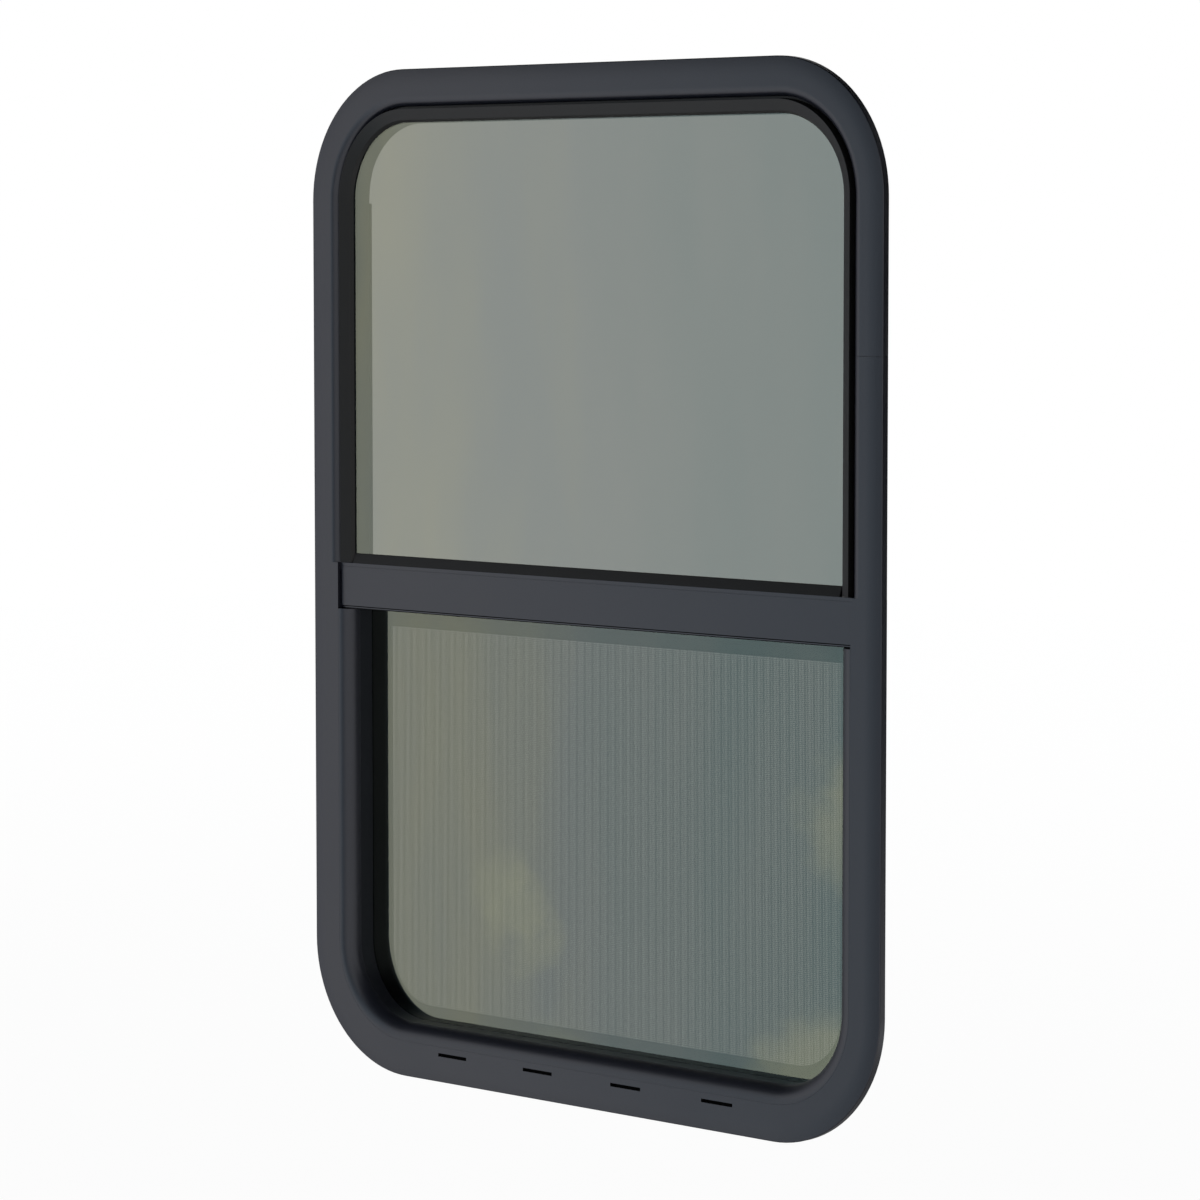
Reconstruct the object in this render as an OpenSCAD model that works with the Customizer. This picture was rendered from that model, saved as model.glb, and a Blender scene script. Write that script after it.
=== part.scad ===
// Caravan window, vertical slider with rounded corners. Millimetres, +Z up, exterior towards -Y.
// The plane y = 0 is the outer skin of the wall that the flange is clamped against.
// The origin lies on the back of the flange lip, at the middle of the bottom edge.
//
// Sections are drawn as [inset, depth]: inset runs inwards from the outer edge of the flange,
// depth runs back from the front face of the flange.

/* [Window] */
// outside width of the flange
window_w = 584; // [520:1:640]
// outside height of the flange
window_h = 787; // [720:1:860]
// outside corner radius of the flange
corner_r = 101; // [92:1:112]
// depth of the flange lip, front face to wall
flange_d = 7; // [6:0.1:8]

/* [Frame section] */
// thickness of the outer skin
skin_t = 1.6; // [1.3:0.1:1.8]
// thickness of the webs and legs behind it
web_t = 1.4; // [1.2:0.1:1.6]
// width of the return lip that meets the wall
lip_w = 2; // [1.6:0.1:2.4]
// width of the crowned outer part of the face
crown_w = 15; // [14:0.5:16]
// radius of the crown
crown_r = 90; // [80:1:120]
// inset of the drain chamber's outer wall
chamber_in = 18.6; // [17.6:0.1:19.4]
// inset of the body wall that passes through the wall
body_in = 22; // [21.4:0.1:22.6]
// inset of the inner edge of the upper flange
upper_edge_in = 28.4; // [28.1:0.1:28.8]
// how far the eased inner edge drops back
ease_drop = 5; // [4.4:0.1:5.6]
// radius of the eased inner edge
ease_r = 8.5; // [7.5:0.1:9.5]
// inset of the flat face below the meeting rail
lower_edge_in = 28; // [27.6:0.1:28.2]
// radius of the rounded reveal round the lower pane
nose_r = 13; // [12.6:0.1:13]
// inset of the daylight opening
sight_in = 41.3; // [41:0.1:42]
// depth of the stepped inner part of the body, which holds the screen
step_up = 4.2; // [4:0.1:4.6]

/* [Glass] */
// thickness of both panes
glass_t = 3.2; // [3:0.1:3.3]
// depth of the front of the fixed upper pane
upper_glass_d = 7.2; // [7:0.1:7.4]
// depth of the front of the sliding lower pane
lower_glass_d = 24.7; // [24.5:0.1:24.9]

/* [Meeting rail] */
// height of the rail's top edge above mid height
rail_top = 7.9; // [7:0.1:9]
// height of the rail
rail_h = 36; // [34:0.5:38]
// how far the rail's face sits behind the flange face
rail_back = 3; // [2.6:0.1:3.4]
// inset of the rail's ends
rail_end_in = 29.2; // [29:0.1:29.6]

/* [Sash] */
// height of the sash's top rail
sash_rail_h = 18.5; // [17:0.1:19]
// how far the pane stands in the sash rail
sash_grip = 15; // [13:0.1:15.4]
// depth of the finger pull
pull_d = 6.5; // [5:0.1:6.5]
// length of a latch body
latch_len = 46; // [38:0.5:50]
// height of a latch body
latch_h = 7.6; // [6.6:0.1:7.8]
// depth of a latch body
latch_d = 5; // [4.5:0.1:5.2]

/* [Screen] */
// inset of the mesh opening's sides from the outer edge
mesh_side_in = 59.1; // [56:0.1:63]
// height of the mesh opening's bottom above the outer edge
mesh_bottom_in = 52.6; // [51:0.1:56]
// drop of the mesh opening's top below mid height
mesh_top_drop = 42.3; // [40:0.1:46]
// thickness of the screen frame
screen_t = 5.8; // [5.4:0.1:5.8]
// gap between the sliding pane's back and the screen frame
screen_gap = 2; // [1.8:0.1:2.4]
// height of the pull tabs on the screen
tab_h = 26; // [22:0.5:30]

/* [Hidden] */
$fn = 96;
eps = 0.01;
mid_z = window_h / 2 - lip_w / 2;
half_w = window_w / 2;
half_h = window_h / 2;
run_w = half_w - corner_r;
run_h = half_h - corner_r;
web_d = upper_glass_d + glass_t + 0.8;
leg_end_d = lower_glass_d - 0.3;
screen_d0 = lower_glass_d + glass_t + screen_gap;
frame_d = screen_d0 + screen_t + 0.1 + web_t;
step_in = body_in + web_t + 2;
step_d = frame_d - step_up;
ease_cx = upper_edge_in - sqrt(ease_r * ease_r - pow(ease_r - ease_drop, 2));
edge_round = 0.8;
edge_top = crown_r - sqrt(crown_r * crown_r - pow(crown_w - edge_round, 2));
crest_in = upper_edge_in + 2.1;
nose_in = sight_in - nose_r;
rail_bot = rail_top - rail_h;
split_h = rail_top;
track_in = body_in + web_t + 0.1;
track_out = sight_in - web_t - 0.4;
slot_w = 30.7;
slot_h = 2.7;
slot_in = 21.8;
drain_h = lower_edge_in - skin_t - body_in - web_t - 0.4;
drain_in = body_in + web_t + 0.2 + drain_h / 2;
slot_x = [-137.6, -45.8, 45.8, 137.6];
seam_z = 179.7;

// Sweeping a section round the window

// stands the window up: x across, y up and z outwards become x, z and -y
module stand() {
  translate([0, 0, mid_z]) rotate([90, 0, 0]) children();
}

// turns a section of [inset, depth] into [distance from the centre line, height over the wall]
module seat(half) {
  translate([half, flange_d]) rotate(180) children();
}

// one straight run on the right jamb, from height a to height b
module run(half, a, b) {
  translate([0, b, 0]) rotate([90, 0, 0]) linear_extrude(b - a) seat(half) children();
}

module bend() {
  translate([run_w, run_h, 0]) rotate_extrude(angle = 90) seat(corner_r) children();
}

module both_sides() {
  children();
  mirror([1, 0, 0]) children();
}

module head() {
  rotate(90) run(half_h, -run_w, run_w) children();
}

module foot() {
  rotate(-90) run(half_h, -run_w, run_w) children();
}

// from height a on both jambs, over the top
module arch(a) {
  both_sides() run(half_w, a, run_h) children();
  both_sides() bend() children();
  head() children();
}

// from height b on both jambs, down and under the bottom
module trough(b) {
  both_sides() run(half_w, -run_h, b) children();
  mirror([0, 1, 0]) both_sides() bend() children();
  foot() children();
}

module box2(u0, u1, d0, d1) {
  translate([u0, d0]) square([u1 - u0, d1 - d0]);
}

// flat plate with the window's outline set in by an inset, for panes and screens
module outline(inset) {
  r = corner_r - inset;
  w = half_w - inset;
  h = half_h - inset;
  square([2 * w, 2 * (h - r)], center = true);
  square([2 * (w - r), 2 * h], center = true);
  for (x = [-1, 1], y = [-1, 1]) translate([x * (w - r), y * (h - r)]) circle(r);
}

// a plate between two depths
module plate(d0, d1) {
  translate([0, 0, flange_d - d1]) linear_extrude(d1 - d0) children();
}

// a bar across the window, drawn as [depth, height]
module bar(len) {
  rotate([90, 0, 90]) translate([0, 0, -len / 2]) linear_extrude(len)
    translate([0, flange_d]) rotate(-90) children();
}

// Outer frame: one bent extrusion, butted on the right jamb

// crowned front of the flange, from the outer edge in to the flat
module crown() {
  intersection() {
    translate([edge_round, edge_top + edge_round]) circle(edge_round);
    box2(0, edge_round, 0, edge_top + edge_round);
  }
  box2(0, edge_round, edge_top + edge_round, web_d);
  intersection() {
    translate([crown_w, crown_r]) circle(crown_r, $fn = 360);
    box2(edge_round, crown_w, 0, web_d);
  }
}

// solid below the eased inner edge of the upper flange, drawn in by a wall thickness
module eased(t) {
  r = ease_r - t;
  u1 = upper_edge_in - t;
  box2(chamber_in, ease_cx, t, web_d);
  intersection() {
    translate([ease_cx, ease_r]) circle(r);
    box2(ease_cx, u1, 0, ease_r);
  }
  box2(ease_cx, u1, ease_r, web_d);
}

// what lies under the crown, one skin thickness down
module under_crown(u0, d1) {
  intersection() {
    translate([crown_w, crown_r]) circle(crown_r - skin_t, $fn = 360);
    box2(u0, crown_w, 0, d1);
  }
}

module flange_skin() {
  difference() {
    crown();
    under_crown(lip_w, web_d + 1);
    box2(-1, lip_w + 1, flange_d, web_d + 1);
  }
  box2(crown_w, chamber_in, 0, skin_t);
}

// legs and webs behind the skin, the same all round
module body_legs() {
  box2(chamber_in, chamber_in + web_t, skin_t, web_d + web_t);
  box2(chamber_in + web_t, sight_in, web_d, web_d + web_t);
  box2(sight_in - web_t, sight_in, web_d + web_t, leg_end_d);
  box2(body_in, body_in + web_t, web_d + web_t, step_d);
  box2(body_in + web_t, step_in + web_t, step_d - web_t, step_d);
  box2(step_in, step_in + web_t, step_d, frame_d);
  box2(step_in + web_t, upper_edge_in + 0.6, frame_d - web_t, frame_d);
}

module upper_section() {
  flange_skin();
  body_legs();
  difference() {
    eased(0);
    box2(chamber_in - 1, chamber_in + web_t, skin_t, web_d + 1);
    intersection() {
      eased(skin_t);
      box2(chamber_in + web_t, sight_in, 0, web_d);
    }
  }
}

module lower_section() {
  flange_skin();
  body_legs();
  box2(chamber_in, lower_edge_in, 0, skin_t);
  box2(lower_edge_in - skin_t, lower_edge_in, skin_t, web_d);
}

module outer_frame() {
  color("#3a3b3f") stand() difference() {
    union() {
      arch(split_h) upper_section();
      trough(split_h) lower_section();
    }
    // weep slots through the face into the drain chamber
    for (x = slot_x) translate([x, slot_in - half_h, flange_d])
      cube([slot_w, slot_h, 2 * skin_t + 1], center = true);
    // drain holes from the sill channel into the chamber
    for (x = slot_x) translate([x, drain_in - half_h, flange_d - web_d - web_t / 2])
      cube([12, drain_h, 3 * web_t], center = true);
    // butt joint of the bent extrusion
    translate([half_w - upper_edge_in, seam_z, flange_d - 1.1])
      cube([upper_edge_in - 5, 0.4, 3]);
    translate([half_w - 6, seam_z, flange_d - 1.7]) cube([7, 0.4, 3]);
    translate([half_w - 0.6, seam_z, 0.6]) cube([2, 0.4, flange_d]);
  }
}

module nose_shape(t) {
  r = nose_r - t;
  intersection() {
    translate([nose_in, nose_r]) circle(r);
    box2(nose_in + t, sight_in + 1, 0, web_d);
  }
}

module lower_reveal() {
  color("#3a3b3f") stand() trough(rail_bot - 0.5) difference() {
    nose_shape(0);
    nose_shape(skin_t);
  }
}

module wall_seal() {
  color("#1c1c1e") stand() {
    arch(0) seal_section();
    trough(0) seal_section();
  }
}

module seal_section() {
  box2(crown_w, chamber_in - 2.5, skin_t, flange_d);
  under_crown(lip_w + 1, flange_d);
}

// Meeting rail

rail_face_d = rail_back;
rail_back_d = web_d - 0.3;
rail_len = window_w - 2 * rail_end_in;
arm_len = window_w - 2 * sight_in - 1;
arm_d = lower_glass_d - 2.4;

module rail_section() {
  difference() {
    union() {
      // face plate with its top lip
      translate([rail_face_d, rail_bot + 2.3]) square([skin_t, rail_h - 2.3]);
      // bottom lip, set back
      translate([rail_face_d + 0.9, rail_bot]) square([skin_t + 0.4, 4]);
      // glass channel floor, box floor and back wall
      translate([rail_face_d, rail_top - 9]) square([rail_back_d - rail_face_d, skin_t]);
      translate([rail_face_d + 1, rail_bot]) square([rail_back_d - rail_face_d - 1, skin_t]);
      translate([rail_back_d - 0.1 - web_t + 0.1, rail_bot]) square([web_t, rail_top - 9 - rail_bot + eps]);
    }
    // shadow line under the top lip
    translate([rail_face_d - 1, rail_top - 3]) square([1.5, 0.5]);
  }
}

// top lip, run on over the gaps at the ends
module lip_section() {
  difference() {
    translate([rail_face_d, rail_top - 5.6]) square([skin_t, 5.6]);
    translate([rail_face_d - 1, rail_top - 3]) square([1.5, 0.5]);
  }
}

module arm_section() {
  // arm that reaches back to the sash, with the pile pocket
  translate([rail_back_d - eps, rail_top - 12]) square([arm_d - rail_back_d, web_t]);
  translate([rail_back_d - eps, rail_top - 14]) square([arm_d - rail_back_d - 5, web_t + 1]);
  translate([arm_d - web_t, rail_top - 20]) square([web_t, 9.4]);
}

module meeting_rail() {
  color("#3a3b3f") stand() {
    bar(rail_len) rail_section();
    bar(window_w - 2 * lower_edge_in - 0.2) lip_section();
    bar(arm_len) arm_section();
  }
}

module rail_pile() {
  color("#202022") stand() bar(arm_len - 6)
    translate([arm_d, rail_top - 18]) square([0.8, 5.4]);
}

// end bracket that ties the rail to the jamb, seen as the dark gap beside the rail
module rail_end() {
  stand() translate([half_w - rail_end_in, rail_bot + 4.3, 0])
    translate([-8, 0, flange_d - rail_back_d + web_t + 0.3])
      cube([8 + rail_end_in - lower_edge_in, rail_h - 9 - 4.3 - 0.6,
        rail_back_d - rail_face_d - skin_t - web_t - 0.6]);
}

module rail_end_left() {
  color("#161617") mirror([1, 0, 0]) rail_end();
}

module rail_end_right() {
  color("#161617") rail_end();
}

// Fixed upper pane and its beads

glass_in = crest_in + 2.6;
glass_foot = rail_top - 9 + skin_t + 0.5;

module upper_glass() {
  color("#5b6262") stand() plate(upper_glass_d, upper_glass_d + glass_t) intersection() {
    outline(glass_in);
    translate([-half_w, glass_foot]) square([window_w, half_h]);
  }
}

bead_flat_in = sight_in - 2.3;
bead_flat_d = 4.1;

module bead_section() {
  polygon([
    [crest_in, 0.15],
    [bead_flat_in, bead_flat_d],
    [sight_in, upper_glass_d],
    [glass_in - 0.2, upper_glass_d],
    [glass_in - 0.2, web_d],
    [upper_edge_in, web_d],
    [upper_edge_in, 8],
    [crest_in, 8]
  ]);
}

module upper_bead() {
  color("#242425") stand() arch(rail_top + 0.4) bead_section();
}

module sill_bead() {
  color("#1a1a1a") stand() bar(window_w - 2 * sight_in) polygon([
    [rail_face_d + 0.4, rail_top],
    [upper_glass_d - 0.6, rail_top + 7.7],
    [upper_glass_d, rail_top + 7.7],
    [upper_glass_d, rail_top - 6],
    [rail_face_d + skin_t, rail_top - 6],
    [rail_face_d + skin_t, rail_top]
  ]);
}

module bedding_tape() {
  color("#111112") stand() arch(rail_top + 1)
    box2(glass_in + 1, sight_in - 0.6, upper_glass_d + glass_t, web_d);
}

// Sliding lower sash

lower_in = sight_in - 9;
side_in = sight_in - 11.5;
sash_top = rail_top - 7;

module lower_glass() {
  color("#4c5252") stand() plate(lower_glass_d, lower_glass_d + glass_t) intersection() {
    union() {
      intersection() {
        outline(lower_in);
        translate([-half_w, -half_h]) square([window_w, half_h - 2]);
      }
      translate([side_in - half_w, -run_h]) square([window_w - 2 * side_in, run_h - 10]);
    }
    translate([side_in - half_w, -half_h]) square([window_w - 2 * side_in, half_h + sash_top]);
  }
}

sash_rail_len = window_w - 2 * sight_in - 3;

module sash_top_rail() {
  pull_back = lower_glass_d + glass_t + 1.4 + pull_d;
  color("#323337") stand() bar(sash_rail_len) difference() {
    union() {
      translate([lower_glass_d - 1.5, sash_top - sash_grip])
        square([glass_t + 3, sash_rail_h]);
      // finger pull on the inside
      translate([pull_back - pull_d, sash_top - 2]) square([pull_d, 1.5]);
      translate([pull_back - 1.5, sash_top - 6]) square([1.5, 5.5]);
    }
    translate([lower_glass_d, sash_top - sash_grip - 1]) square([glass_t, sash_grip + 1]);
  }
}

// spring bolt latch near one end of the sash rail
latch_y = lower_glass_d + glass_t + 1.5;
latch_end = 6;

module sash_latch() {
  slot_l = 0.35 * latch_len;
  stand() translate([half_w - sight_in, sash_top - sash_grip + 1, flange_d - latch_y]) {
    difference() {
      translate([-latch_end - latch_len, 0, -latch_d]) cube([latch_len, latch_h, latch_d]);
      translate([-latch_end - latch_len / 2 - 11, 1.8, -latch_d - 1]) cube([slot_l, 4, 2.6]);
    }
    // thumb button in its slot, and the bolt
    translate([-latch_end - latch_len / 2 - 7, 2, -latch_d - 1.6]) cube([7, 3.6, 4]);
    translate([-latch_end - 2, 2, -latch_d + 1.4]) cube([latch_end + 3, 3.6, 2.4]);
  }
}

module sash_latch_left() {
  color("#1b1b1c") mirror([1, 0, 0]) sash_latch();
}

module sash_latch_right() {
  color("#1b1b1c") sash_latch();
}

// Tracks in the jambs

module track_section() {
  difference() {
    box2(track_in, track_out, lower_glass_d - 1.7, lower_glass_d + glass_t + 1.7);
    box2(track_in + 1.6, track_out + 1, lower_glass_d - 0.5, lower_glass_d + glass_t + 0.5);
  }
}

module sash_track() {
  stand() run(half_w, -run_h + 4, run_h - 2) track_section();
}

module sash_track_left() {
  color("#161617") mirror([1, 0, 0]) sash_track();
}

module sash_track_right() {
  color("#161617") sash_track();
}

module sash_stop() {
  stand() run(half_w, run_h - 18, run_h - 2)
    box2(track_in + 1.6, track_out - 2, lower_glass_d - 0.5, lower_glass_d + glass_t + 0.5);
}

module sash_stop_left() {
  color("#242425") mirror([1, 0, 0]) sash_stop();
}

module sash_stop_right() {
  color("#242425") sash_stop();
}

module sash_sill_seal() {
  color("#161617") stand() foot() difference() {
    box2(body_in + web_t, lower_in + 4, lower_glass_d - 0.2, lower_glass_d + glass_t + 1.2);
    box2(lower_in, lower_in + 5, lower_glass_d - 1, lower_glass_d + glass_t);
  }
}

// Insect screen on the inside of the lower half

screen_in = upper_edge_in + 5.6;
screen_foot_in = upper_edge_in + 1.6;
screen_top = -mesh_top_drop + 21;
mesh_d = screen_d0 + 2.4;
mesh_t = 0.4;
rebate_w = 7;
mesh_half_w = half_w - mesh_side_in;
mesh_r = corner_r - mesh_side_in;

module mesh_window(grow) {
  w = mesh_half_w + grow;
  z0 = mesh_bottom_in - half_h - grow;
  z1 = -mesh_top_drop + grow;
  r = mesh_r + grow;
  translate([-w, z0 + r]) square([2 * w, z1 - z0 - r]);
  translate([-w + r, z0]) square([2 * (w - r), r + 1]);
  for (x = [-1, 1]) translate([x * (w - r), z0 + r]) circle(r);
}

module screen_outline() {
  w = half_w - screen_in;
  z0 = screen_foot_in - half_h;
  r = corner_r - screen_in;
  translate([-w, z0 + r]) square([2 * w, screen_top - z0 - r]);
  translate([-w + r, z0]) square([2 * (w - r), r + 1]);
  for (x = [-1, 1]) translate([x * (w - r), z0 + r]) circle(r);
}

module screen_frame() {
  color("#28292c") stand() difference() {
    plate(screen_d0, screen_d0 + screen_t) difference() {
      screen_outline();
      mesh_window(0);
    }
    // rebate for the mesh and its spline, open to the inside
    plate(mesh_d, screen_d0 + screen_t + 1) mesh_window(rebate_w);
  }
}

module screen_mesh() {
  color("#303132") stand() plate(mesh_d, mesh_d + mesh_t) mesh_window(rebate_w - 0.1);
}

module screen_spline() {
  color("#101011") stand() plate(mesh_d + mesh_t, screen_d0 + screen_t - 0.2) difference() {
    mesh_window(rebate_w - 0.1);
    mesh_window(rebate_w - 3.6);
  }
}

// channel that holds the screen to the jamb, below the rail only
module screen_track() {
  stand() run(half_w, -run_h, screen_top - 2) {
    box2(step_in + web_t, screen_in - 0.4, screen_d0, frame_d - web_t);
    box2(upper_edge_in + 0.8, screen_in - 0.4, frame_d - web_t - 0.5, frame_d);
    box2(upper_edge_in + 0.8, sight_in - 0.6, screen_d0 + screen_t + 0.3, frame_d);
  }
}

module screen_track_left() {
  color("#1b1b1c") mirror([1, 0, 0]) screen_track();
}

module screen_track_right() {
  color("#1b1b1c") screen_track();
}

// pull tab on the screen's inside face
module screen_tab() {
  foot_z = screen_top - 99;
  stand() translate([half_w - sight_in - 6.7, foot_z, flange_d - screen_d0 - screen_t - 4]) {
    translate([-3, 0, 3]) cube([10, tab_h, 1]);
    translate([0, tab_h * 0.15, 0]) cube([1.5, tab_h * 0.7, 3.1]);
  }
}

module screen_tab_left() {
  color("#1b1b1c") mirror([1, 0, 0]) screen_tab();
}

module screen_tab_right() {
  color("#1b1b1c") screen_tab();
}

outer_frame();
lower_reveal();
wall_seal();
meeting_rail();
rail_end_left();
rail_end_right();
rail_pile();
upper_glass();
upper_bead();
sill_bead();
bedding_tape();
lower_glass();
sash_top_rail();
sash_latch_left();
sash_latch_right();
sash_track_left();
sash_track_right();
sash_stop_left();
sash_stop_right();
sash_sill_seal();
screen_frame();
screen_mesh();
screen_spline();
screen_track_left();
screen_track_right();
screen_tab_left();
screen_tab_right();
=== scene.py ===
# %% [markdown]
# # A vertical sliding caravan window
# The window is a rounded rectangle of black powder-coated aluminium with two dark panes.
# The upper pane is fixed, nearly flush with the flange. The lower one slides up behind it
# and sits deep in a rounded reveal, with an insect screen behind it.
#
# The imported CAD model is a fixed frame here: it says where everything is, in metres, with
# +Z up and the outside of the caravan towards -Y. Blender adds what the eye looks for: soft
# edges, paint, rubber, glass, woven mesh and light.

# %% Load the frame
import math

import bmesh
import bpy
from mathutils import Matrix, Vector


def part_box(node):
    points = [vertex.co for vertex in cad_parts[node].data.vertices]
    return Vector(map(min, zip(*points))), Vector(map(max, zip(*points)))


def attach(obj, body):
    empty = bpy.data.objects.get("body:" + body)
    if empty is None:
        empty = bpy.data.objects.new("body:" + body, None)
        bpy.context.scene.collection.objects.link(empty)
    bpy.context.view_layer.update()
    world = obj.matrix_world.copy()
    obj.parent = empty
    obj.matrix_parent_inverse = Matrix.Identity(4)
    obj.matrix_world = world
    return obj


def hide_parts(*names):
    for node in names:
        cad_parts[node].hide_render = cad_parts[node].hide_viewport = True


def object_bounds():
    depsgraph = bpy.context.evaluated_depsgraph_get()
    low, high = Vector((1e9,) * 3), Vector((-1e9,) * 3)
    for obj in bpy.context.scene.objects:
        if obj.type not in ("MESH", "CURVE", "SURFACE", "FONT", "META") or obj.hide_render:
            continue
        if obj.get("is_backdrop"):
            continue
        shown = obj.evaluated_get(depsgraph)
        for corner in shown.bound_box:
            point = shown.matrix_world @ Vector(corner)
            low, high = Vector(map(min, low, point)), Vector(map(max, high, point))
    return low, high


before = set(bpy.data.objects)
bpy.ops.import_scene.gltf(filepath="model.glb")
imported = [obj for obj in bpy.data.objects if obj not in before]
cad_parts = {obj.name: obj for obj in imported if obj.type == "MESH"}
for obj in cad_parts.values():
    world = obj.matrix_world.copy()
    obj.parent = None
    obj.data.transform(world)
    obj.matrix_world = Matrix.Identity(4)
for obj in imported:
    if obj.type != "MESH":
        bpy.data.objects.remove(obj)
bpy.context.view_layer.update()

MM = 0.001
scene = bpy.context.scene

# %% [markdown]
# ## Camera
# The photo was taken from the right of the window and a little above its middle, with a long
# lens, so that upright edges stay nearly parallel. The place and the lens were found by
# fitting the flange's outline. A long lens from far away could also be imitated with an
# orthographic camera, but the small convergence of the top and bottom edges would be lost.

# %% Camera
CAMERA_PLACE = (2.3328, -2.4742, 0.6539)
CAMERA_AZIMUTH, CAMERA_DROP = 43.15, 4.53
LENS_MM = 136.1

camera_data = bpy.data.cameras.new("camera")
camera_data.lens = LENS_MM
camera_data.sensor_width = 36.0
camera = bpy.data.objects.new("camera", camera_data)
camera.location = CAMERA_PLACE
camera.rotation_euler = (math.radians(90 - CAMERA_DROP), 0, math.radians(CAMERA_AZIMUTH))
scene.collection.objects.link(camera)
scene.camera = camera
print("Camera is", round(Vector(CAMERA_PLACE).length, 2), "m from the origin")

# %% [markdown]
# ## Three small helpers
# Screens give colours as sRGB, and Blender's sockets take linear light, so every colour in
# this lesson is written as sRGB hex and goes through one function. Nodes are added with one
# function too, because a tree is then read from its top to its bottom like a recipe.

# %% Colour and node helpers
def linear(hex_colour):
    """A colour written as sRGB hex, in the linear light that Blender's sockets take."""
    parts = [int(hex_colour[i : i + 2], 16) / 255 for i in (1, 3, 5)]
    light = [c / 12.92 if c <= 0.04045 else ((c + 0.055) / 1.055) ** 2.4 for c in parts]
    return (*light, 1.0)


def add(tree, kind, sockets=None, **settings):
    """Adds a node. Each socket takes a plain value or another node's output."""
    node = tree.nodes.new(kind)
    for name, value in settings.items():
        setattr(node, name, value)
    for name, value in (sockets or {}).items():
        if isinstance(value, bpy.types.NodeSocket):
            tree.links.new(value, node.inputs[name])
        else:
            node.inputs[name].default_value = value
    return node


def start_material(name, **sockets):
    """A material with one Principled shader on object coordinates."""
    material = bpy.data.materials.new(name)
    material.use_nodes = True
    tree = material.node_tree
    tree.nodes.clear()
    shader = add(tree, "ShaderNodeBsdfPrincipled", sockets)
    add(tree, "ShaderNodeOutputMaterial", {"Surface": shader.outputs["BSDF"]})
    place = add(tree, "ShaderNodeTexCoord").outputs["Object"]
    return material, tree, shader, place


print("Mid grey in linear light:", round(linear("#808080")[0], 3))

# %% [markdown]
# ## Powder-coated aluminium
# The frame is extruded aluminium with a satin black polyester powder coat. The powder melts
# in the oven and flows, but never quite flat: it keeps low waves about 2 mm long, called
# orange peel, and a finer grain. The eye reads black satin paint almost only by what it
# mirrors, so the paint itself is very dark, and its grey comes from the studio's light. A
# trace of blue in the mirror tint takes the warmth out of that grey.

# %% Powder coat
ORANGE_PEEL_MM = 2.2
PAINT_GRAIN_MM = 0.35


def powder_coat(name, dark, light, roughness):
    material, tree, shader, place = start_material(
        name, **{"IOR": 1.56, "Specular Tint": (0.94, 0.95, 1.0, 1.0)})
    drift = add(tree, "ShaderNodeTexNoise", {"Vector": place, "Scale": 14.0, "Detail": 2.0})
    paint = add(tree, "ShaderNodeMix", {0: drift.outputs["Fac"], 6: linear(dark), 7: linear(light)},
                data_type="RGBA")
    tree.links.new(paint.outputs[2], shader.inputs["Base Color"])
    sheen = add(tree, "ShaderNodeMapRange",
                {"Value": drift.outputs["Fac"], "To Min": roughness - 0.03, "To Max": roughness + 0.03})
    tree.links.new(sheen.outputs["Result"], shader.inputs["Roughness"])
    peel = add(tree, "ShaderNodeTexNoise", {"Vector": place, "Scale": 1 / (ORANGE_PEEL_MM * MM)})
    grain = add(tree, "ShaderNodeTexNoise", {"Vector": place, "Scale": 1 / (PAINT_GRAIN_MM * MM)})
    waves = add(tree, "ShaderNodeBump",
                {"Height": peel.outputs["Fac"], "Strength": 0.16, "Distance": 0.00025})
    skin = add(tree, "ShaderNodeBump",
               {"Height": grain.outputs["Fac"], "Strength": 0.1, "Distance": 0.00006,
                "Normal": waves.outputs["Normal"]})
    tree.links.new(skin.outputs["Normal"], shader.inputs["Normal"])
    return material


frame_paint = powder_coat("satin_powder_coated_aluminium", "#20222b", "#252730", 0.38)
screen_paint = powder_coat("satin_painted_roll_formed_aluminium", "#1b1c1e", "#1f2022", 0.42)
print("Made", frame_paint.name, "and", screen_paint.name)

# %% [markdown]
# ## Rubber, foam and plastic
# The beads are extruded rubber: nearly black, soft in the light, with a faint bloom that
# makes some parts paler. The wall seal and the bedding tape are closed-cell foam, whose cut
# cells give it a pitted face. Tracks and latches are moulded plastic with a fine spark-eroded
# grain. All three are cheap to tell apart by roughness and by the size of their grain.

# %% Rubber, foam, plastic and pile
def grained(name, dark, light, roughness, grain_mm, depth_mm, cells=False, **sockets):
    """A dull black material with a grain of one size."""
    material, tree, shader, place = start_material(name, **sockets)
    shader.inputs["Roughness"].default_value = roughness
    cloud = add(tree, "ShaderNodeTexNoise", {"Vector": place, "Scale": 30.0, "Detail": 4.0})
    mix = add(tree, "ShaderNodeMix", {0: cloud.outputs["Fac"], 6: linear(dark), 7: linear(light)},
              data_type="RGBA")
    tree.links.new(mix.outputs[2], shader.inputs["Base Color"])
    kind, out = ("ShaderNodeTexVoronoi", "Distance") if cells else ("ShaderNodeTexNoise", "Fac")
    grain = add(tree, kind, {"Vector": place, "Scale": 1 / (grain_mm * MM)})
    bump = add(tree, "ShaderNodeBump",
               {"Height": grain.outputs[out], "Strength": 0.5, "Distance": depth_mm * MM})
    tree.links.new(bump.outputs["Normal"], shader.inputs["Normal"])
    return material


bead_rubber = grained("extruded_rubber", "#151515", "#1a1a1a", 0.45, 0.5, 0.03,
                      **{"Specular IOR Level": 0.32})
seal_foam = grained("closed_cell_foam", "#171718", "#202022", 0.92, 0.9, 0.2, cells=True)
moulded_plastic = grained("spark_grained_plastic", "#161617", "#1a1a1b", 0.5, 0.4, 0.03)
brush_pile = grained("brush_pile_fibre", "#18181a", "#222225", 0.8, 0.3, 0.02)
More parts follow.
